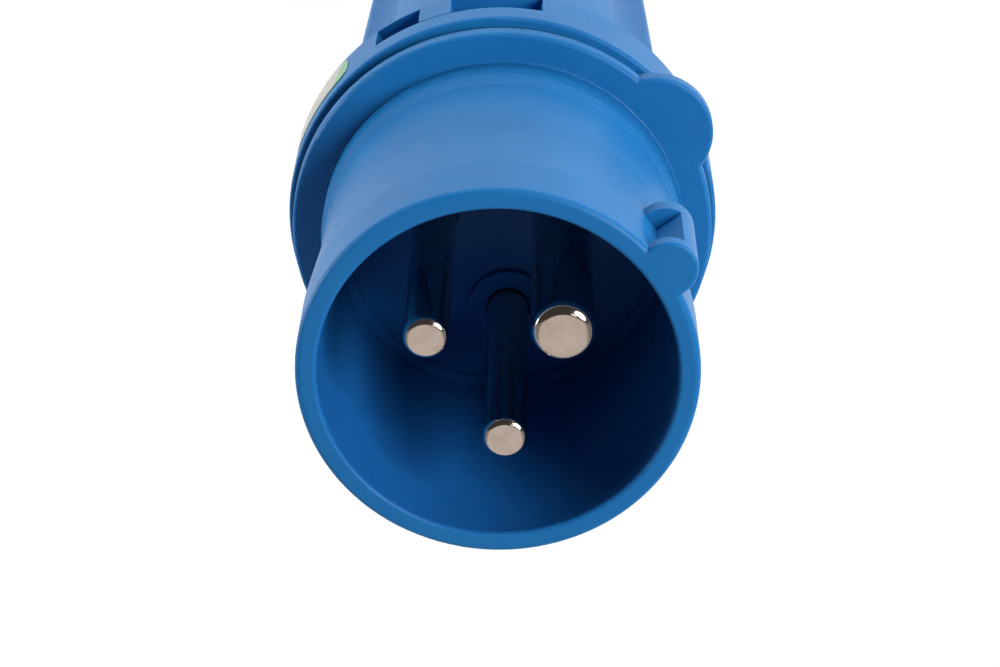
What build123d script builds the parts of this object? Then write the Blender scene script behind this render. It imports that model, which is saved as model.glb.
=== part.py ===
from build123d import *
import os
from math import cos, degrees, radians, sin, tan

# Industrial pin and sleeve plug, two poles and earth: a shroud with a key, three
# contact pins, a flange with a lobe, a twist-on rear housing with a fluted grip, and
# a cable gland.
# Millimetres. Each piece is drawn with the plug's axis along +Y, from the centre of the
# shroud's front rim, and with angles in degrees from +X towards +Z. At the end all pieces
# are turned over together, so that the plug stands on its gland nut with the opening up
# and the origin at the centre of its foot.

# Clearances
running_gap = 0.08
screw_gap = 0.05
loose_gap = 0.3

# Shroud
rim_radius = 22.0
shroud_wall = 2.4
rim_edge = 0.7
mouth_edge = 0.5
rim_band = 8.2
taper_length = 14.0
waist = 0.9
barrel_length = 11.1
base_ring_step = 0.5
base_ring_length = 5.1
base_ring_slope = 1.7

# Key on the shroud's rim
key_angle = 35.0
key_half_width = 3.2
key_rise = 3.4
key_length = 11.1
key_front_plate = 1.5
key_rear_plate = 2.0
key_side_wall = 4.5
key_pocket_sink = 0.2
key_pocket_draft = 3.0
key_edge = 0.4

# Flange with its lobe
flange_overhang = 3.3
flange_thickness = 2.4
flange_edge = 0.5
lobe_offset = 22.0
lobe_radius = 7.1

# Shroud floor
floor_inset = 2.4
floor_thickness = 6.0
boss_height = 1.0
boss_width = 2.3
hole_mouth_gap = 0.2
floor_ring_width = 1.2
floor_ring_height = 0.8

# Contacts
pin_circle_radius = 8.63
pole_pin_radius = 2.5
pole_pin_recess = 1.6
pole_tip_edge = 0.9
earth_pin_radius = 3.5
earth_pin_recess = 0.2
earth_tip_edge = 1.4
pin_neck = 0.25
pin_neck_stand = 0.6
pin_collar_step = 1.2
pin_collar_length = 1.6
terminal_step = 1.0
terminal_length = 13.0
wire_hole_depth = 9.0
wire_hole_radius = 1.9
terminal_screw_radius = 1.75
terminal_screw_setback = 5.0
terminal_screw_tip = 0.6
screw_slot_width = 0.8
screw_slot_depth = 0.9

# Contact retainer
retainer_thickness = 3.0
barrier_thickness = 1.6
barrier_setback = 2.2
retainer_screw_inset = 3.1
retainer_screw_radius = 1.45
retainer_screw_grip = 4.0
screw_head_radius = 2.6
screw_head_height = 1.8

# Collar ring of the rear housing, with its windows and locking tongue
seal_thickness = 1.2
seal_inset = 0.5
ring_step = 0.7
ring_wall = 2.4
ring_length = 8.9
ring_floor = 1.0
ring_edge = 0.4
skirt_wall = 2.0
window_setback = 3.5
window_rear_band = 0.5
tongue_angle = 108.2
tongue_span = 8.7
short_window_span = 13.2
long_window_span = 24.6
seam_width = 0.35

# Bayonet lugs under the ring
lug_span = 12.0
lug_length = 2.2
lug_height = 1.1
lug_setback = 4.6
lug_gap = 0.2
twist_travel = 20.0

# Fluted grip
terminal_room = 1.37
grip_narrowing = 1.8
grip_length = 68.0
grip_wall = 2.2
grip_end_edge = 6.0
grip_end_wall = 5.0
flute_depth = 4.8
flute_radius = 7.0
flute_edge = 0.7

# Cable gland
cable_radius = 5.75
cable_hole_gap = 0.85
seal_wall = 2.05
cage_wall = 2.0
cage_finger_wall = 1.6
cage_base_length = 4.0
cage_stand = 1.0
cage_slot = 1.4
cage_slot_pairs = 4
spigot_wall = 2.4
spigot_length = 12.0
seat_depth = 2.0
washer_thickness = 1.2
washer_gap = 0.2
nut_wall = 3.0
nut_end_wall = 4.0
nut_gap = 0.6
nut_edge = 1.6
nut_front_edge = 0.5
nut_scallops = 12
nut_scallop_radius = 3.0
nut_scallop_depth = 0.9

# Places along the axis
taper_end = rim_band + taper_length
base_ring_front = taper_end + barrel_length
flange_front = base_ring_front + base_ring_length
flange_rear = flange_front + flange_thickness
floor_front = flange_front - floor_inset
floor_rear = floor_front + floor_thickness
boss_front = floor_front - boss_height
neck_front = boss_front - pin_neck_stand
retainer_rear = floor_rear + retainer_thickness
terminal_rear = retainer_rear + terminal_length
ring_front = flange_rear + seal_thickness
ring_rear = ring_front + ring_length
skirt_rear = ring_rear - ring_floor - loose_gap
window_front = ring_front + window_setback
window_rear = ring_rear - window_rear_band
lug_front = ring_front + lug_setback
grip_rear = ring_rear + grip_length
cage_seat = grip_rear - seat_depth
spigot_rear = grip_rear + spigot_length
cage_rear = spigot_rear + cage_stand
washer_front = cage_rear + washer_gap
washer_rear = washer_front + washer_thickness
nut_front = grip_rear + nut_gap
nut_rear = washer_rear + nut_end_wall

# Radii that follow
shroud_bore = rim_radius - shroud_wall
barrel_radius = rim_radius - waist
base_ring_radius = barrel_radius + base_ring_step
flange_radius = rim_radius + flange_overhang
ring_radius = flange_radius + ring_step
ring_bore = ring_radius - ring_wall
skirt_radius = ring_bore - running_gap
skirt_bore = skirt_radius - skirt_wall
lug_radius = skirt_radius + lug_height
terminal_reach = pin_circle_radius + earth_pin_radius + terminal_step
grip_front_radius = terminal_reach + terminal_room + grip_wall + flute_depth
grip_rear_radius = grip_front_radius - grip_narrowing
retainer_screw_place = skirt_bore - retainer_screw_inset - screw_head_radius
barrier_reach = retainer_screw_place - screw_head_radius - barrier_setback
cable_hole = cable_radius + cable_hole_gap
cable_seal_radius = cable_radius + seal_wall
cage_bore = cable_seal_radius + running_gap
cage_radius = cage_bore + cage_wall
spigot_bore = cage_radius + running_gap
spigot_radius = spigot_bore + spigot_wall
nut_bore = spigot_radius + running_gap
nut_radius = nut_bore + nut_wall

# Angles that follow
earth_angle = key_angle
line_angle = key_angle + 120
neutral_angle = key_angle + 240
pin_angles = [earth_angle, line_angle, neutral_angle]
barrier_angles = [angle + 60 for angle in pin_angles]
flute_angles = [30, 150, 270]
tongue_start = tongue_angle - tongue_span / 2
tongue_end = tongue_angle + tongue_span / 2


def polar(radius, angle):
    """Point of a section at a radius and an angle."""
    return (radius * cos(radians(angle)), radius * sin(radians(angle)))


def section_plane(y):
    """Plane across the axis, with local x along +X and local y along +Z."""
    return Plane(origin=(0, y, 0), x_dir=(1, 0, 0), z_dir=(0, -1, 0))


def prism(sketch, front, rear):
    """A section run along the axis from front to rear."""
    return extrude(section_plane(rear) * sketch, amount=rear - front)


def turned(corners, edges=()):
    """A solid turned about the axis from (radius, y) corners, some of them rounded."""
    profile = make_face(Polyline(*corners, close=True))
    for corner, radius in edges:
        target = Vector(*corner)
        vertex = min(profile.vertices(), key=lambda v: (Vector(*v) - target).length)
        profile = fillet(vertex, radius)
    return revolve(profile, axis=Axis.Y)


def tube(inner, outer, front, rear, edges=()):
    """A turned ring or sleeve."""
    return turned([(inner, front), (outer, front), (outer, rear), (inner, rear)], edges)


def ring_sector(inner, outer, start, end):
    """Part of a flat ring between two angles, as a section."""
    span = end - start
    return make_face(
        [
            CenterArc((0, 0), outer, start, span),
            Line(polar(outer, end), polar(inner, end)),
            CenterArc((0, 0), inner, start, span),
            Line(polar(inner, start), polar(outer, start)),
        ]
    )


def pin_radius(angle):
    return earth_pin_radius if angle == earth_angle else pole_pin_radius


def at_pin(angle):
    return Pos(*polar(pin_circle_radius, angle))


def outward(angle, radius, y):
    """A frame at a radius whose z axis points out from the plug's axis."""
    x, z = polar(radius, angle)
    return Plane(
        origin=(x, y, z),
        x_dir=(0, 1, 0),
        z_dir=(cos(radians(angle)), 0, sin(radians(angle))),
    )


def make_key():
    """Rounded rib with a front and a rear plate and a pocket open to one side."""
    crest = rim_radius + key_rise - key_half_width
    root = rim_radius - shroud_wall / 2
    outline = make_face(
        [
            Line((root, -key_half_width), (crest, -key_half_width)),
            CenterArc((crest, 0), key_half_width, -90, 180),
            Line((crest, key_half_width), (root, key_half_width)),
            Line((root, key_half_width), (root, -key_half_width)),
        ]
    )
    rib = prism(Rot(0, 0, key_angle) * outline, 0, key_length)
    front_edges = rib.edges().filter_by_position(Axis.Y, -0.01, 0.01)
    rib = fillet(front_edges, key_edge)
    pocket_floor = rim_radius - key_pocket_sink
    pocket_side = key_side_wall - key_half_width
    pocket_top = pocket_floor + 2 * key_rise
    reach = 3 * key_half_width
    pocket = make_face(
        Polyline(
            (pocket_floor, pocket_side),
            (pocket_top, pocket_side),
            (pocket_top, pocket_side + reach),
            (pocket_floor - reach * tan(radians(key_pocket_draft)), pocket_side + reach),
            close=True,
        )
    )
    return rib, prism(Rot(0, 0, key_angle) * pocket, key_front_plate, key_length - key_rear_plate)


def make_front_housing():
    """Shroud, key, flange, floor and bayonet skirt, moulded as one."""
    body = turned(
        [
            (shroud_bore, 0),
            (rim_radius, 0),
            (rim_radius, rim_band),
            (barrel_radius, taper_end),
            (barrel_radius, base_ring_front),
            (base_ring_radius, base_ring_front + base_ring_slope),
            (base_ring_radius, flange_front),
            (skirt_radius, flange_front),
            (skirt_radius, skirt_rear),
            (skirt_bore, skirt_rear),
            (skirt_bore, floor_rear),
            (0, floor_rear),
            (0, floor_front),
            (shroud_bore - floor_ring_width, floor_front),
            (shroud_bore - floor_ring_width, floor_front - floor_ring_height),
            (shroud_bore, floor_front - floor_ring_height),
        ],
        [((rim_radius, 0), rim_edge), ((shroud_bore, 0), mouth_edge)],
    )
    lobe_place = Pos(*polar(lobe_offset, key_angle))
    for outline in [Circle(flange_radius), lobe_place * Circle(lobe_radius)]:
        plate = prism(outline, flange_front, flange_rear)
        body += fillet(plate.edges().filter_by(GeomType.CIRCLE), flange_edge)
    rib, pocket = make_key()
    body = body + rib - pocket
    for angle in pin_angles:
        radius = pin_radius(angle)
        spot = at_pin(angle)
        lug_sides = (angle - lug_span / 2, angle + lug_span / 2)
        lug = ring_sector(skirt_radius - skirt_wall / 2, lug_radius, *lug_sides)
        body += prism(lug, lug_front, lug_front + lug_length)
        body += prism(spot * Circle(radius + boss_width), boss_front, floor_front)
        body -= prism(spot * Circle(radius - pin_neck + running_gap), boss_front, floor_rear)
        body -= prism(spot * Circle(radius + hole_mouth_gap), boss_front, floor_front)
        collar_hole = spot * Circle(radius + pin_collar_step + running_gap)
        body -= prism(collar_hole, floor_rear - pin_collar_length, floor_rear)
    for angle in barrier_angles:
        hole = at_retainer_screw(angle) * Circle(retainer_screw_radius + screw_gap)
        body -= prism(hole, floor_rear - retainer_screw_grip - loose_gap, floor_rear)
    return body


def make_pin(angle):
    """Turned contact with a rounded tip, a neck, a collar and a terminal."""
    radius = pin_radius(angle)
    earth = angle == earth_angle
    tip = earth_pin_recess if earth else pole_pin_recess
    tip_edge = earth_tip_edge if earth else pole_tip_edge
    collar_front = floor_rear - pin_collar_length
    neck_radius = radius - pin_neck
    collar_radius = radius + pin_collar_step
    terminal_radius = radius + terminal_step
    hole_end = terminal_rear - wire_hole_depth
    pin = turned(
        [
            (0, tip),
            (radius, tip),
            (radius, neck_front),
            (neck_radius, neck_front),
            (neck_radius, collar_front),
            (collar_radius, collar_front),
            (collar_radius, floor_rear),
            (terminal_radius, floor_rear),
            (terminal_radius, terminal_rear),
            (wire_hole_radius, terminal_rear),
            (wire_hole_radius, hole_end),
            (0, hole_end),
        ],
        [((radius, tip), tip_edge)],
    )
    x, z = polar(pin_circle_radius, angle)
    screw_hole = Circle(terminal_screw_radius + screw_gap)
    drill = extrude(screw_frame(angle, 0) * screw_hole, amount=2 * terminal_radius)
    return Pos(x, 0, z) * pin - drill


def screw_frame(angle, height):
    """Frame on a terminal screw's axis, at a height over the pin's axis."""
    y = terminal_rear - terminal_screw_setback
    return outward(angle, pin_circle_radius + height, y)


def make_terminal_screw(angle):
    """Slotted set screw, flush with the terminal, its tip just inside the wire hole."""
    top = pin_radius(angle) + terminal_step
    tip = wire_hole_radius - terminal_screw_tip
    screw = extrude(screw_frame(angle, tip) * Circle(terminal_screw_radius), amount=top - tip)
    slot = Rectangle(screw_slot_width, 4 * terminal_screw_radius)
    return screw - extrude(screw_frame(angle, top) * slot, amount=-screw_slot_depth)


def at_retainer_screw(angle):
    return Pos(*polar(retainer_screw_place, angle))


def make_contact_retainer():
    """Plate behind the floor that traps the pin collars, with barriers between wires."""
    plate = Circle(skirt_bore - loose_gap)
    for angle in pin_angles:
        terminal_radius = pin_radius(angle) + terminal_step
        plate -= at_pin(angle) * Circle(terminal_radius + running_gap)
    for angle in barrier_angles:
        plate -= at_retainer_screw(angle) * Circle(retainer_screw_radius + screw_gap)
    retainer = prism(plate, floor_rear, retainer_rear)
    for angle in barrier_angles:
        wall = Rectangle(barrier_reach, barrier_thickness, align=(Align.MIN, Align.CENTER))
        retainer += prism(Rot(0, 0, angle) * wall, floor_rear, terminal_rear)
    return retainer


def make_retainer_screw(angle):
    """Slotted cheese-head screw through the retainer into the floor."""
    spot = at_retainer_screw(angle)
    head_rear = retainer_rear + screw_head_height
    shank = prism(
        spot * Circle(retainer_screw_radius), floor_rear - retainer_screw_grip, retainer_rear
    )
    head = prism(spot * Circle(screw_head_radius), retainer_rear, head_rear)
    slot = spot * Rectangle(4 * screw_head_radius, screw_slot_width)
    return shank + head - prism(slot, head_rear - screw_slot_depth, head_rear)


def make_housing_seal():
    """Flat gasket between the flange and the collar ring."""
    return tube(skirt_radius + loose_gap, flange_radius - seal_inset, flange_rear, ring_front)


def grip_section(radius, inset):
    """Round section with three broad flutes, drawn in by the wall for the inside."""
    flute_centre = radius - flute_depth + flute_radius
    outline = Circle(radius - inset)
    for angle in flute_angles:
        outline -= Pos(*polar(flute_centre, angle)) * Circle(flute_radius + inset)
    return fillet(outline.vertices(), flute_edge)


def grip_loft(inset, front, rear):
    """The grip's tapered, fluted form from front to rear."""
    sections = []
    for y in (front, rear):
        share = (y - ring_rear) / grip_length
        radius = grip_front_radius - share * grip_narrowing
        sections.append(section_plane(y) * grip_section(radius, inset))
    return loft(sections)


def make_rear_housing():
    """Collar ring with windows, tongue and bayonet grooves, fluted grip and spigot."""
    shoulder = ring_rear - ring_floor
    end_corner = (grip_rear_radius, grip_rear)
    envelope = turned(
        [(0, shoulder), (ring_radius, shoulder), end_corner, (0, grip_rear)],
        [(end_corner, grip_end_edge)],
    )
    body = grip_loft(0, shoulder, grip_rear) & envelope
    ring_corners = [(ring_radius, ring_front), (ring_radius, ring_rear)]
    body += tube(0, ring_radius, ring_front, ring_rear, [(c, ring_edge) for c in ring_corners])
    body += tube(0, spigot_radius, grip_rear - seat_depth, spigot_rear)
    body -= tube(0, ring_bore, ring_front, shoulder)
    body -= grip_loft(grip_wall, shoulder, grip_rear - grip_end_wall)
    body -= tube(0, cable_hole, grip_rear - grip_end_wall, cage_seat)
    body -= tube(0, spigot_bore, cage_seat, spigot_rear)
    windows = [
        (tongue_end, tongue_end + short_window_span, window_front, window_rear),
        (tongue_start - long_window_span, tongue_start, window_front, window_rear),
        (tongue_start, tongue_end, window_front, window_front + seam_width),
    ]
    for start, end, front, rear in windows:
        cut = ring_sector(ring_bore - loose_gap, ring_radius + loose_gap, start, end)
        body -= prism(cut, front, rear)
    for angle in pin_angles:
        play = degrees(lug_gap / ring_bore)
        start = angle - lug_span / 2 - play
        end = angle + lug_span / 2 + twist_travel + play
        groove_front = lug_front - lug_gap
        groove_rear = lug_front + lug_length + lug_gap
        run = (ring_bore - loose_gap, lug_radius + lug_gap)
        body -= prism(ring_sector(*run, start, end), groove_front, groove_rear)
        entry_start = end - lug_span - 2 * play
        body -= prism(ring_sector(*run, entry_start, end), ring_front, groove_rear)
    return body


def make_clamp_cage():
    """Slotted sleeve whose fingers grip the seal when the nut is tightened."""
    base_rear = cage_seat + cage_base_length
    cage = tube(cage_bore, cage_radius, cage_seat, base_rear)
    cage += tube(cage_bore, cage_bore + cage_finger_wall, base_rear, cage_rear)
    for i in range(cage_slot_pairs):
        slot = Rot(0, 0, 180 * i / cage_slot_pairs) * Rectangle(4 * cage_radius, cage_slot)
        cage -= prism(slot, base_rear, cage_rear)
    return cage


def make_cable_seal():
    """Rubber sleeve that closes on the cable."""
    return tube(cable_radius, cable_seal_radius, cage_seat, cage_rear - cage_stand)


def make_slip_washer():
    """Washer that slides with the nut and spares the cage from its turning."""
    return tube(cable_hole, nut_bore - loose_gap, washer_front, washer_rear)


def make_gland_nut():
    """Scalloped nut with a rounded end and a cable hole."""
    nut = turned(
        [
            (nut_bore, nut_front),
            (nut_radius, nut_front),
            (nut_radius, nut_rear),
            (cable_hole, nut_rear),
            (cable_hole, washer_rear),
            (nut_bore, washer_rear),
        ],
        [((nut_radius, nut_front), nut_front_edge), ((nut_radius, nut_rear), nut_edge)],
    )
    centre = nut_radius - nut_scallop_depth + nut_scallop_radius
    for i in range(nut_scallops):
        scallop = Pos(*polar(centre, 360 * i / nut_scallops)) * Circle(nut_scallop_radius)
        nut -= prism(scallop, nut_front + 2 * nut_front_edge, nut_rear)
    return nut


parts = {
    "front_housing": make_front_housing(),
    "line_pin": make_pin(line_angle),
    "neutral_pin": make_pin(neutral_angle),
    "earth_pin": make_pin(earth_angle),
    "pole_terminal_screws": Compound(
        [make_terminal_screw(angle) for angle in (line_angle, neutral_angle)]
    ),
    "earth_terminal_screw": make_terminal_screw(earth_angle),
    "contact_retainer": make_contact_retainer(),
    "retainer_screws": Compound([make_retainer_screw(angle) for angle in barrier_angles]),
    "housing_seal": make_housing_seal(),
    "rear_housing": make_rear_housing(),
    "clamp_cage": make_clamp_cage(),
    "cable_seal": make_cable_seal(),
    "slip_washer": make_slip_washer(),
    "gland_nut": make_gland_nut(),
}
stand = Plane(origin=(0, 0, nut_rear), x_dir=(-1, 0, 0), z_dir=(0, -1, 0))
os.makedirs("parts", exist_ok=True)
for name, shape in parts.items():
    export_step(stand.location * shape, f"parts/{name}.step")
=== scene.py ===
import math

import bmesh
import bpy
from mathutils import Matrix, Vector


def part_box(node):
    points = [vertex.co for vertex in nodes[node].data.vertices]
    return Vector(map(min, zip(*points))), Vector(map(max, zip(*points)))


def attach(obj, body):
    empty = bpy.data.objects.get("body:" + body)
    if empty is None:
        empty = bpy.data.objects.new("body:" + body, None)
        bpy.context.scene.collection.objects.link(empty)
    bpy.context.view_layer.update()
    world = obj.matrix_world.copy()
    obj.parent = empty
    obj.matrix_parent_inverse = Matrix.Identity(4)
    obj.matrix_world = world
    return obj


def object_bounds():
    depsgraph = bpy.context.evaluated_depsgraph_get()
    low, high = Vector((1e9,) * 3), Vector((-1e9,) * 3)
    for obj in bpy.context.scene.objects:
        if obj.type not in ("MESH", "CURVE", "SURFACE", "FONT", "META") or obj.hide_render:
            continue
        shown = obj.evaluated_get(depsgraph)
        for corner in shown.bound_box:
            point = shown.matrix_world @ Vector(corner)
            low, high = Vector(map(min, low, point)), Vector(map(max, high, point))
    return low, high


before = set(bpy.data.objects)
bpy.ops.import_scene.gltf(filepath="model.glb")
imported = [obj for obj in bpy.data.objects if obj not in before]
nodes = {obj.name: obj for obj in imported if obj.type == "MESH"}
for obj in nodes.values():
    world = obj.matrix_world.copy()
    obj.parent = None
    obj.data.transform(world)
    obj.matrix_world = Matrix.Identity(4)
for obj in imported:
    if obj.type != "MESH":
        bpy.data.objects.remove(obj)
cad_low, cad_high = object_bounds()
scene = bpy.context.scene
scene.view_settings.view_transform = "Standard"

MM = 0.001

# Camera, fitted to the photograph's rim, collar and pins
IMAGE_WIDTH = 1000
FOCAL_PIXELS = 2710
SENSOR_WIDTH = 36.0
CAMERA_PLACE = Vector((-3.87, -133.69, 397.78)) * MM
CAMERA_PAN = math.radians(-1.606)
CAMERA_DOWN = math.radians(63.739)
CAMERA_ROLL = math.radians(-178.364)
CAMERA_NEAR = 0.01
CAMERA_FAR = 20.0

# Colours, linear
BLUE = (0.009, 0.143, 0.386)
BLUE_PALE = (0.014, 0.164, 0.416)
BLUE_DEEP = (0.008, 0.132, 0.368)
# Next colour: painted shade, a darker blue for the inside of the shroud's bore
BLUE_SHADE_INSIDE = (0.008, 0.103, 0.335)
# Next colour: painted highlight, a pale blue for the line where the rim band ends
BLUE_HIGHLIGHT = (0.026, 0.178, 0.430)
DUST = (0.30, 0.42, 0.52)
NICKEL = (0.72, 0.64, 0.58)
NICKEL_WORN = (0.62, 0.53, 0.46)
STEEL = (0.60, 0.60, 0.61)
STEEL_DULL = (0.42, 0.42, 0.43)
GREY = (0.10, 0.105, 0.115)
GREY_PALE = (0.14, 0.145, 0.155)
RUBBER = (0.012, 0.012, 0.013)
RUBBER_PALE = (0.030, 0.030, 0.031)
PAPER = (0.42, 0.43, 0.39)
PAPER_GREEN = (0.18, 0.40, 0.22)
WHITE = (1.0, 1.0, 1.0)
FLOOR_WHITE = (0.93, 0.93, 0.925)

# Every noise is a grain and a number of octaves, and every range is the part of a noise
# between 0 and 1 over which its effect grows from nothing to full

# Moulded plastic
FLOW_CLOUDS = (14 * MM, 3)
CLOUD_RANGE = (0.35, 0.65)
FLOW_STREAKS = (2.6 * MM, 4)
STREAK_RANGE = (0.35, 0.75)
STREAK_SHARE = 0.2
DUST_SPECKS = (0.22 * MM, 1)
DUST_RANGE = (0.80, 0.88)
DUST_SHARE = 0.25
SKIN_GRAIN = (0.35 * MM, 3)
SKIN_WAVES = (6 * MM, 1)
SKIN_DEPTH = 0.010 * MM
GLOSS_PATCHES = (3.5 * MM, 3)
GLOSS_RANGE = (0.3, 0.7)
GLOSS_SWING = 0.03
BLUE_ROUGHNESS = 0.40
GREY_ROUGHNESS = 0.47
PLASTIC_SPECULAR = 0.14
SCATTER_WEIGHT = 0.35
SCATTER_RADIUS = (0.3, 0.7, 1.0)
SCATTER_SCALE = 1.0 * MM

# Details of the shroud, at heights above the foot
# Where the painted shade inside the shroud begins: inside this radius and above the foot of
# the base ring
CORE_RADIUS = 19.7 * MM
CORE_RADIUS_FADE = 0.15 * MM
CORE_HEIGHT_FADE = 0.5 * MM
WALL_RADII = (20.5 * MM, 22.2 * MM)
WALL_FADE = 0.1 * MM
BASE_RING = (98.9 * MM, 104.0 * MM)
BASE_RING_FADE = 0.4 * MM
BASE_RING_RADII = (21.2 * MM, 21.8 * MM)
BASE_RING_RADII_FADE = 0.2 * MM
SPARKED_GRAIN = (0.45 * MM, 3)
SPARKED_DEPTH = 0.16 * MM
PARTING = (107.0 * MM, 122.0 * MM)
PARTING_FADE = 3 * MM
PARTING_ANGLE = math.radians(216.5)
PARTING_HALF_WIDTH = 0.03 * MM
PARTING_SLOPE = 0.08 * MM
PARTING_DEPTH = 0.03 * MM
# Painted highlight along the rim band's edge: its height, width and the noise that breaks it
# up
BAND_END = 129.1 * MM
BAND_EDGE_HALF_WIDTH = 0.1 * MM
BAND_EDGE_FADE = 0.3 * MM
BAND_HIGHLIGHT_BREAKUP = (4 * MM, 2)
BAND_HIGHLIGHT_RANGE = (0.35, 0.65)
BAND_HIGHLIGHT_SHARES = (0.4, 0.8)

# Thread on the gland's spigot
SPIGOT = (6.2 * MM, 18.4 * MM)
SPIGOT_FADE = 0.2 * MM
SPIGOT_RADII = (13.5 * MM, 13.0 * MM)
PITCH = 1.5 * MM
THREAD_DEPTH = 0.8 * MM

# Metal pieces
PIN_RINGS = (0.06 * MM, 1)
PIN_RING_DEPTH = 0.0006 * MM
PIN_TURNING = (0.12 * MM, 2)
PIN_TURNING_DEPTH = 0.0004 * MM
PIN_SMEARS = (1.6 * MM, 4)
PIN_WORN_RANGE = (0.40, 0.75)
PIN_DULL_RANGE = (0.3, 0.8)
PIN_ROUGHNESS = (0.06, 0.13)
SCREW_CLOUDS = (0.8 * MM, 4)
SCREW_DULL_RANGE = (0.35, 0.7)
SCREW_ROUGH_RANGE = (0.3, 0.7)
SCREW_ROUGHNESS = (0.25, 0.42)
SCREW_SCRATCHES = (0.08 * MM, 2)
SCREW_SCRATCH_DEPTH = 0.003 * MM
METAL_EDGE = 0.1 * MM
EDGE_SAMPLES = 6

# Rubber
RUBBER_BLOOM = (2.2 * MM, 4)
RUBBER_PALE_RANGE = (0.4, 0.75)
RUBBER_ROUGH_RANGE = (0.3, 0.7)
RUBBER_ROUGHNESS = (0.62, 0.80)
RUBBER_PORES = (0.25 * MM, 2)
RUBBER_PORE_DEPTH = 0.02 * MM
RUBBER_EDGE = 0.15 * MM

# Label on the collar ring, a strip bent round its outer wall
RING_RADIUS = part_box("rear_housing")[1].x
RING_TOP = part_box("rear_housing")[1].z
LABEL_START = math.radians(315.8)
LABEL_LENGTH = 12.5 * MM
LABEL_SETBACK = 2.2 * MM
LABEL_WIDTH = 5.6 * MM
LABEL_CORNER = 1.8 * MM
LABEL_LIFT = 0.01 * MM
LABEL_THICKNESS = 0.07 * MM
LABEL_STEPS_ALONG = 72
LABEL_STEPS_ACROSS = 8
LABEL_SLANT = 0.02
LABEL_GREEN_END = 2.9 * MM
LABEL_GREEN_FADE = 0.6 * MM
LABEL_GREEN_SLANT = 0.3
LABEL_BORDER = 0.4 * MM
LABEL_BORDER_FADE = 0.3 * MM
LABEL_BORDER_SHARE = 0.55
LABEL_FIBRE = (0.3 * MM, 4)
LABEL_FIBRE_RANGE = (0.3, 0.7)
LABEL_FIBRE_SHADE = 0.93
LABEL_FIBRE_DEPTH = 0.004 * MM
LABEL_ROUGHNESS = (0.38, 0.5)

# Floor
FLOOR_SIZE = 6.0
FLOOR_ROUGHNESS = 0.9
FLOOR_GLOW = 0.88
FLOOR_GLOW_STRENGTH = 1.08

# Lamps
LAMP_DISTANCE = 0.9
KEY_FROM = Vector((-0.660, -0.366, 0.656))
KEY_SIZE = 0.48
KEY_POWER = 9.5
TOP_FROM = Vector((-0.30, -0.18, 0.92))
TOP_SIZE = 0.16
TOP_POWER = 0.12
BOUNCE_PLACE = Vector((0.10, -0.34, 0.085))
BOUNCE_SIZE = 0.36
BOUNCE_POWER = 1.5
SIDE_PLACE = Vector((0.78, -0.06, 0.06))
SIDE_SIZE = 0.30
SIDE_POWER = 5.0

# Sky: colours, and the parts of the direction's axes over which they blend
SKY_FAR = (0.65, 0.60, 0.56)
SKY_NEAR = (0.05, 0.047, 0.045)
SKY_SIDE = (0.25, 0.24, 0.23)
SKY_HORIZON = (0.16, 0.16, 0.16)
SKY_SIDE_FROM = (0.50, 0.80)
SKY_FAR_FROM = (-0.06, 0.10)
SKY_BACKDROP_TO = (0.06, 0.10)
SKY_HORIZON_TO = (0.14, 0.26)


class Nodes:
    """A node tree that is being wired up."""

    def __init__(self, tree):
        self.tree = tree

    def feed(self, socket, value):
        """Links a socket to another one, or sets it to a value."""
        if isinstance(value, bpy.types.NodeSocket):
            self.tree.links.new(value, socket)
        else:
            socket.default_value = value

    def add(self, kind, inputs=(), **settings):
        node = self.tree.nodes.new(kind)
        for key, value in settings.items():
            setattr(node, key, value)
        for key, value in dict(inputs).items():
            self.feed(node.inputs[key], value)
        return node

    def calc(self, operation, a, b=0.0):
        node = self.add("ShaderNodeMath", {0: a, 1: b}, operation=operation)
        return node.outputs["Value"]

    def product(self, first, *others):
        for other in others:
            first = self.calc("MULTIPLY", first, other)
        return first

    def spread(self, value, low, high, start=0.0, end=1.0, **settings):
        """Maps value from low..high to start..end, held at both ends."""
        inputs = {
            "Value": value,
            "From Min": low,
            "From Max": high,
            "To Min": start,
            "To Max": end,
        }
        return self.add("ShaderNodeMapRange", inputs, **settings).outputs["Result"]

    def mix(self, share, a, b):
        """Colour that goes from a to b."""
        node = self.add("ShaderNodeMix", data_type="RGBA")
        sockets = {s.identifier: s for s in node.inputs}
        for name, value in (("Factor_Float", share), ("A_Color", a), ("B_Color", b)):
            self.feed(sockets[name], (*value, 1.0) if isinstance(value, tuple) else value)
        return next(s for s in node.outputs if s.identifier == "Result_Color")

    def axes(self, vector):
        return self.add("ShaderNodeSeparateXYZ", {"Vector": vector}).outputs

    def shows_background(self):
        """1 for the rays that show the background: seen, mirrored or let through."""
        rays = self.add("ShaderNodeLightPath").outputs
        seen = self.calc("MAXIMUM", rays["Is Camera Ray"], rays["Is Glossy Ray"])
        return self.calc("MAXIMUM", seen, rays["Is Transmission Ray"])


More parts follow.
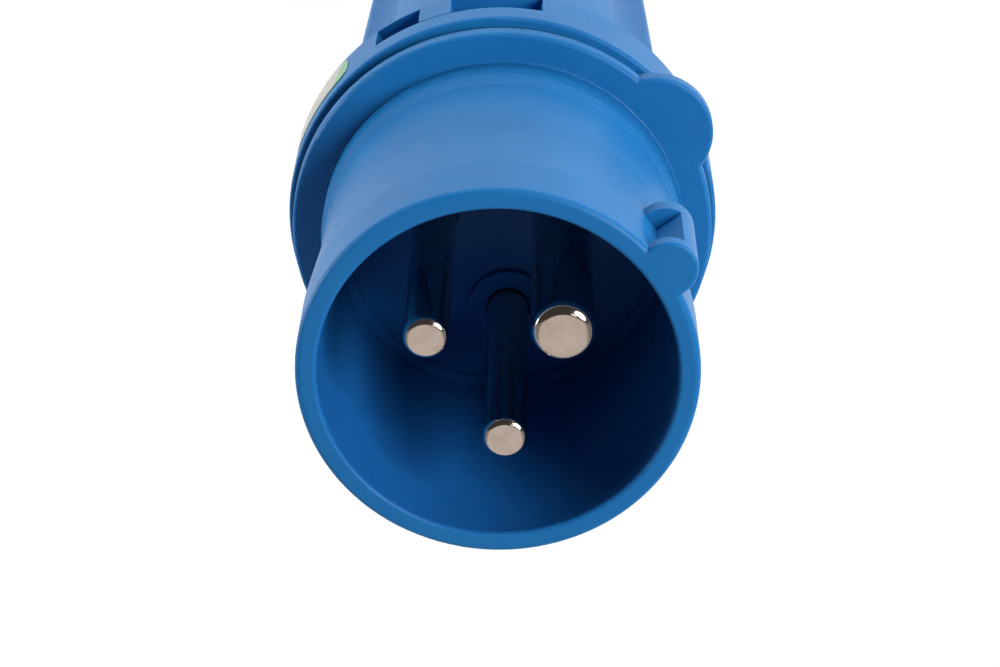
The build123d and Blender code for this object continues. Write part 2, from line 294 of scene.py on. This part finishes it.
class Shader(Nodes):
    """A material that is being wired up, in the plug's own frame."""

    def __init__(self, name):
        self.material = bpy.data.materials.new(name)
        self.material.use_nodes = True
        super().__init__(self.material.node_tree)
        self.surface = self.tree.nodes["Principled BSDF"]
        self.place = self.add("ShaderNodeTexCoord").outputs["Object"]

    def set(self, **inputs):
        """Sets or links the surface's sockets, with _ for a blank in a name."""
        for key, value in inputs.items():
            self.feed(self.surface.inputs[key.replace("_", " ")], value)

    def noise(self, grain, octaves, place=None):
        """Noise between 0 and 1 whose grain is a length in metres."""
        inputs = {"Vector": place or self.place, "Scale": 1 / grain, "Detail": octaves}
        return self.add("ShaderNodeTexNoise", inputs).outputs["Fac"]

    def bump(self, height, depth, normal=None):
        inputs = {"Height": height, "Distance": depth, "Strength": 1.0}
        if normal is not None:
            inputs["Normal"] = normal
        return self.add("ShaderNodeBump", inputs).outputs["Normal"]

    def round_edges(self, radius):
        node = self.add("ShaderNodeBevel", {"Radius": radius}, samples=EDGE_SAMPLES)
        return node.outputs["Normal"]

    def radius(self, place=None):
        """Distance from the plug's axis, or from the vertical through a moved origin."""
        axes = self.axes(place or self.place)
        squares = [self.calc("POWER", axes[axis], 2.0) for axis in ("X", "Y")]
        return self.calc("SQRT", self.calc("ADD", *squares))

    def height(self):
        return self.axes(self.place)["Z"]

    def between(self, value, low, high, fade):
        """1 between low and high, falling to 0 over fade on either side."""
        rise = self.spread(value, low - fade, low)
        fall = self.spread(value, high, high + fade, 1.0, 0.0)
        return self.product(rise, fall)


def moulded_plastic(name, base, pale, deep, roughness, reliefs=(), tints=()):
    """Satin plastic: faint flow clouds, fine grain, sparse dust, own reliefs and tints."""
    shader = Shader(name)
    clouds = shader.noise(*FLOW_CLOUDS)
    streaks = shader.noise(*FLOW_STREAKS)
    colour = shader.mix(shader.spread(clouds, *CLOUD_RANGE), deep, base)
    streaked = shader.spread(streaks, *STREAK_RANGE, 0.0, STREAK_SHARE)
    colour = shader.mix(streaked, colour, pale)
    for share, tint in tints:
        colour = shader.mix(share(shader), colour, tint)
    dust = shader.noise(*DUST_SPECKS)
    dusty = shader.spread(dust, *DUST_RANGE, 0.0, DUST_SHARE)
    colour = shader.mix(dusty, colour, DUST)
    normal = shader.bump(shader.noise(*SKIN_GRAIN), SKIN_DEPTH)
    normal = shader.bump(shader.noise(*SKIN_WAVES), SKIN_DEPTH, normal)
    for relief in reliefs:
        height, depth = relief(shader)
        normal = shader.bump(height, depth, normal)
    patches = shader.noise(*GLOSS_PATCHES)
    swing = (roughness - GLOSS_SWING, roughness + GLOSS_SWING)
    shader.set(
        Base_Color=colour,
        Roughness=shader.spread(patches, *GLOSS_RANGE, *swing),
        Normal=normal,
        Specular_IOR_Level=PLASTIC_SPECULAR,
        Subsurface_Weight=SCATTER_WEIGHT,
        Subsurface_Radius=SCATTER_RADIUS,
        Subsurface_Scale=SCATTER_SCALE,
    )
    return shader.material


def painted_shade_inside(shader):
    """Share of the painted shade inside the shroud: a darker blue on the bore's wall and
    floor, standing in for the shade there.
    """
    edge = CORE_RADIUS + CORE_RADIUS_FADE
    inside = shader.spread(shader.radius(), CORE_RADIUS, edge, 1.0, 0.0)
    floor = BASE_RING[0]
    above = shader.spread(shader.height(), floor, floor + CORE_HEIGHT_FADE)
    return shader.product(inside, above)


def outer_wall(shader):
    """1 on the shroud's outer wall, 0 inside and on the key's crest."""
    return shader.between(shader.radius(), *WALL_RADII, WALL_FADE)


def band_edge_highlight(shader):
    """Share of the painted highlight, a pale line broken up by noise, where the rim band ends
    and the taper starts.
    """
    low, high = BAND_END - BAND_EDGE_HALF_WIDTH, BAND_END + BAND_EDGE_HALF_WIDTH
    edge = shader.between(shader.height(), low, high, BAND_EDGE_FADE)
    breakup = shader.spread(shader.noise(*BAND_HIGHLIGHT_BREAKUP), *BAND_HIGHLIGHT_RANGE, *BAND_HIGHLIGHT_SHARES)
    return shader.product(edge, outer_wall(shader), breakup)


def sparked_ring(shader):
    """Coarse sparked texture on the shroud's base ring."""
    ring = shader.between(shader.height(), *BASE_RING, BASE_RING_FADE)
    wall = shader.between(shader.radius(), *BASE_RING_RADII, BASE_RING_RADII_FADE)
    return shader.product(ring, wall, shader.noise(*SPARKED_GRAIN)), SPARKED_DEPTH


def parting_line(shader):
    """Fine ridge where the two halves of the shroud's mould met."""
    axes = shader.axes(shader.place)
    across = shader.calc(
        "SUBTRACT",
        shader.product(axes["Y"], math.cos(PARTING_ANGLE)),
        shader.product(axes["X"], math.sin(PARTING_ANGLE)),
    )
    half = PARTING_HALF_WIDTH
    ridge = shader.between(across, -half, half, PARTING_SLOPE)
    stretch = shader.between(axes["Z"], *PARTING, PARTING_FADE)
    return shader.product(ridge, stretch, outer_wall(shader)), PARTING_DEPTH


def spigot_thread(shader):
    """Screw thread on the spigot under the gland nut."""
    axes = shader.axes(shader.place)
    angle = shader.calc("ARCTAN2", axes["Y"], axes["X"])
    risen = shader.calc("DIVIDE", axes["Z"], PITCH)
    turned = shader.calc("DIVIDE", angle, 2 * math.pi)
    wave = shader.calc("PINGPONG", shader.calc("SUBTRACT", risen, turned), 0.5)
    stretch = shader.between(axes["Z"], *SPIGOT, SPIGOT_FADE)
    inner = shader.spread(shader.radius(), *SPIGOT_RADII)
    return shader.product(wave, stretch, inner), THREAD_DEPTH


def nickel_pin(name, centre):
    """Plated pin with turning rings round its own axis and dull rubbed patches."""
    shader = Shader(name)
    inputs = {"Vector": shader.place, "Location": (-centre.x, -centre.y, 0.0)}
    local = shader.add("ShaderNodeMapping", inputs).outputs["Vector"]
    outward = shader.add("ShaderNodeCombineXYZ", {"X": shader.radius(local)})
    rings = shader.noise(*PIN_RINGS, outward.outputs["Vector"])
    along = shader.add("ShaderNodeCombineXYZ", {"Z": shader.height()})
    turning = shader.noise(*PIN_TURNING, along.outputs["Vector"])
    smears = shader.noise(*PIN_SMEARS)
    normal = shader.bump(rings, PIN_RING_DEPTH, shader.round_edges(METAL_EDGE))
    shader.set(
        Base_Color=shader.mix(shader.spread(smears, *PIN_WORN_RANGE), NICKEL, NICKEL_WORN),
        Metallic=1.0,
        Roughness=shader.spread(smears, *PIN_DULL_RANGE, *PIN_ROUGHNESS),
        Normal=shader.bump(turning, PIN_TURNING_DEPTH, normal),
    )
    return shader.material


def plated_steel(name):
    """Zinc-plated screw steel with dull clouds and fine scratches."""
    shader = Shader(name)
    clouds = shader.noise(*SCREW_CLOUDS)
    scratches = shader.noise(*SCREW_SCRATCHES)
    edges = shader.round_edges(METAL_EDGE)
    shader.set(
        Base_Color=shader.mix(shader.spread(clouds, *SCREW_DULL_RANGE), STEEL, STEEL_DULL),
        Metallic=1.0,
        Roughness=shader.spread(clouds, *SCREW_ROUGH_RANGE, *SCREW_ROUGHNESS),
        Normal=shader.bump(scratches, SCREW_SCRATCH_DEPTH, edges),
    )
    return shader.material


def seal_rubber(name):
    """Matt black rubber with bloom and fine pores."""
    shader = Shader(name)
    bloom = shader.noise(*RUBBER_BLOOM)
    pores = shader.noise(*RUBBER_PORES)
    edges = shader.round_edges(RUBBER_EDGE)
    shader.set(
        Base_Color=shader.mix(shader.spread(bloom, *RUBBER_PALE_RANGE), RUBBER, RUBBER_PALE),
        Roughness=shader.spread(bloom, *RUBBER_ROUGH_RANGE, *RUBBER_ROUGHNESS),
        Normal=shader.bump(pores, RUBBER_PORE_DEPTH, edges),
    )
    return shader.material


def label_paper(name):
    """Satin film label: pale field, green at its start, faint fibre."""
    shader = Shader(name)
    axes = shader.axes(shader.add("ShaderNodeTexCoord").outputs["UV"])
    along, across = axes["X"], axes["Y"]
    slant = shader.calc("ADD", along, shader.product(across, LABEL_GREEN_SLANT))
    start = LABEL_GREEN_END - LABEL_GREEN_FADE
    green = shader.spread(slant, start, LABEL_GREEN_END, 1.0, 0.0)
    end = LABEL_BORDER + LABEL_BORDER_FADE
    border = shader.spread(across, LABEL_BORDER, end, LABEL_BORDER_SHARE, 0.0)
    fibre = shader.noise(*LABEL_FIBRE)
    shaded = tuple(c * LABEL_FIBRE_SHADE for c in PAPER)
    field = shader.mix(shader.spread(fibre, *LABEL_FIBRE_RANGE), PAPER, shaded)
    shader.set(
        Base_Color=shader.mix(shader.calc("MAXIMUM", green, border), field, PAPER_GREEN),
        Roughness=shader.spread(fibre, *LABEL_FIBRE_RANGE, *LABEL_ROUGHNESS),
        Normal=shader.bump(fibre, LABEL_FIBRE_DEPTH),
    )
    return shader.material


def label_inset(along):
    """How far the label's long edges draw in where its corners are rounded."""
    into = min(along, LABEL_LENGTH - along, LABEL_CORNER)
    return LABEL_CORNER - math.sqrt(LABEL_CORNER**2 - (LABEL_CORNER - into) ** 2)


def make_label():
    """Blank label: a sheet with a UV map in metres, thickened outwards."""
    mesh = bpy.data.meshes.new("blank_label")
    bm = bmesh.new()
    uv_layer = bm.loops.layers.uv.new("UVMap")
    flat = {}
    columns = []
    radius = RING_RADIUS + LABEL_LIFT
    for i in range(LABEL_STEPS_ALONG + 1):
        share = i / LABEL_STEPS_ALONG
        along = LABEL_LENGTH * (1 - math.cos(math.pi * share)) / 2
        inset = label_inset(along)
        angle = LABEL_START + along / radius
        column = []
        for j in range(LABEL_STEPS_ACROSS + 1):
            across = inset + (LABEL_WIDTH - 2 * inset) * j / LABEL_STEPS_ACROSS
            z = RING_TOP - LABEL_SETBACK - across - LABEL_SLANT * along
            vertex = bm.verts.new((radius * math.cos(angle), radius * math.sin(angle), z))
            flat[vertex] = (along, across)
            column.append(vertex)
        columns.append(column)
    for left, right in zip(columns, columns[1:]):
        for j in range(LABEL_STEPS_ACROSS):
            face = bm.faces.new((left[j], left[j + 1], right[j + 1], right[j]))
            face.smooth = True
            for loop in face.loops:
                loop[uv_layer].uv = flat[loop.vert]
    bm.to_mesh(mesh)
    bm.free()
    label = bpy.data.objects.new("blank_label", mesh)
    scene.collection.objects.link(label)
    film = label.modifiers.new("film", "SOLIDIFY")
    film.thickness = LABEL_THICKNESS
    film.offset = 1.0
    label.data.materials.append(label_paper("label_film"))
    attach(label, "rear")


def dress(node_names, material):
    for name in node_names:
        slots = nodes[name].data.materials
        slots.clear()
        slots.append(material)


def make_materials():
    blue = (BLUE, BLUE_PALE, BLUE_DEEP, BLUE_ROUGHNESS)
    reliefs = [sparked_ring, parting_line]
    # Tints: painted shade inside the shroud, and a painted highlight along the line where the
    # rim band ends
    tints = [(painted_shade_inside, BLUE_SHADE_INSIDE), (band_edge_highlight, BLUE_HIGHLIGHT)]
    dress(["front_housing"], moulded_plastic("shroud_blue", *blue, reliefs, tints))
    dress(["rear_housing"], moulded_plastic("grip_blue", *blue, [spigot_thread]))
    dress(["gland_nut"], moulded_plastic("nut_blue", *blue))
    grey = moulded_plastic("grey_moulding", GREY, GREY_PALE, GREY, GREY_ROUGHNESS)
    dress(["contact_retainer", "clamp_cage", "slip_washer"], grey)
    dress(["housing_seal", "cable_seal"], seal_rubber("black_rubber"))
    screws = ["pole_terminal_screws", "earth_terminal_screw", "retainer_screws"]
    dress(screws, plated_steel("screw_plating"))
    for name in ("line_pin", "neutral_pin", "earth_pin"):
        low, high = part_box(name)
        dress([name], nickel_pin(name + "_plating", (low + high) / 2))


def make_floor():
    """A pale floor that is white where it is background, and keeps the plug's shadow."""
    mesh = bpy.data.meshes.new("floor")
    half = FLOOR_SIZE / 2
    corners = [(-half, -half, 0), (half, -half, 0), (half, half, 0), (-half, half, 0)]
    mesh.from_pydata(corners, [], [(0, 1, 2, 3)])
    floor = bpy.data.objects.new("floor", mesh)
    scene.collection.objects.link(floor)
    shader = Shader("floor_white")
    shader.set(
        Base_Color=(*FLOOR_WHITE, 1.0),
        Roughness=FLOOR_ROUGHNESS,
        Specular_IOR_Level=0.0,
    )
    light = {"Color": (*WHITE, 1.0), "Strength": FLOOR_GLOW_STRENGTH}
    glow = shader.add("ShaderNodeEmission", light)
    blend = shader.add(
        "ShaderNodeMixShader",
        {
            "Fac": shader.product(shader.shows_background(), FLOOR_GLOW),
            1: shader.surface.outputs["BSDF"],
            2: glow.outputs["Emission"],
        },
    )
    output = shader.tree.nodes["Material Output"]
    shader.feed(output.inputs["Surface"], blend.outputs["Shader"])
    mesh.materials.append(shader.material)


def make_lamp(name, place, aim, size, power):
    lamp = bpy.data.lights.new(name, "AREA")
    lamp.shape = "DISK"
    lamp.size = size
    lamp.energy = power
    holder = bpy.data.objects.new(name, lamp)
    holder.location = place
    holder.rotation_mode = "QUATERNION"
    holder.rotation_quaternion = (aim - place).to_track_quat("-Z", "Y")
    scene.collection.objects.link(holder)


def make_lamps():
    """A soft key, a small top light, a low side light, and one that bounces off the floor."""
    middle = (cad_low + cad_high) / 2
    for name, direction, size, power in (
        ("key_lamp", KEY_FROM, KEY_SIZE, KEY_POWER),
        ("top_lamp", TOP_FROM, TOP_SIZE, TOP_POWER),
    ):
        place = middle + direction.normalized() * LAMP_DISTANCE
        make_lamp(name, place, middle, size, power)
    below = Vector((BOUNCE_PLACE.x, BOUNCE_PLACE.y, 0.0))
    make_lamp("bounce_lamp", BOUNCE_PLACE, below, BOUNCE_SIZE, BOUNCE_POWER)
    make_lamp("side_lamp", SIDE_PLACE, middle, SIDE_SIZE, SIDE_POWER)


def make_sky():
    """A pale far side, a dark near side and a dim horizon, white where it is background."""
    world = bpy.data.worlds.new("studio")
    world.use_nodes = True
    scene.world = world
    sky = Nodes(world.node_tree)
    axes = sky.axes(sky.add("ShaderNodeTexCoord").outputs["Generated"])

    def blend(value, stretch, a, b):
        share = sky.spread(value, *stretch, interpolation_type="SMOOTHSTEP")
        return sky.mix(share, a, b)

    far = blend(sky.calc("ABSOLUTE", axes["X"]), SKY_SIDE_FROM, SKY_FAR, SKY_SIDE)
    upper = blend(axes["Y"], SKY_FAR_FROM, SKY_NEAR, far)
    backdrop = sky.mix(sky.shows_background(), SKY_HORIZON, WHITE)
    lower = blend(axes["Z"], SKY_BACKDROP_TO, backdrop, SKY_HORIZON)
    colour = blend(axes["Z"], SKY_HORIZON_TO, lower, upper)
    sky.feed(sky.tree.nodes["Background"].inputs["Color"], colour)


def make_camera():
    data = bpy.data.cameras.new("camera")
    data.sensor_fit = "HORIZONTAL"
    data.sensor_width = SENSOR_WIDTH
    data.lens = FOCAL_PIXELS * SENSOR_WIDTH / IMAGE_WIDTH
    data.clip_start = CAMERA_NEAR
    data.clip_end = CAMERA_FAR
    camera = bpy.data.objects.new("camera", data)
    camera.rotation_mode = "QUATERNION"
    turn = Matrix.Rotation(CAMERA_PAN, 3, "Z")
    turn = turn @ Matrix.Rotation(math.radians(90) - CAMERA_DOWN, 3, "X")
    turn = turn @ Matrix.Rotation(CAMERA_ROLL, 3, "Z")
    camera.rotation_quaternion = turn.to_quaternion()
    camera.location = CAMERA_PLACE
    scene.collection.objects.link(camera)
    scene.camera = camera


make_camera()
make_floor()
make_sky()
make_lamps()
make_materials()
make_label()
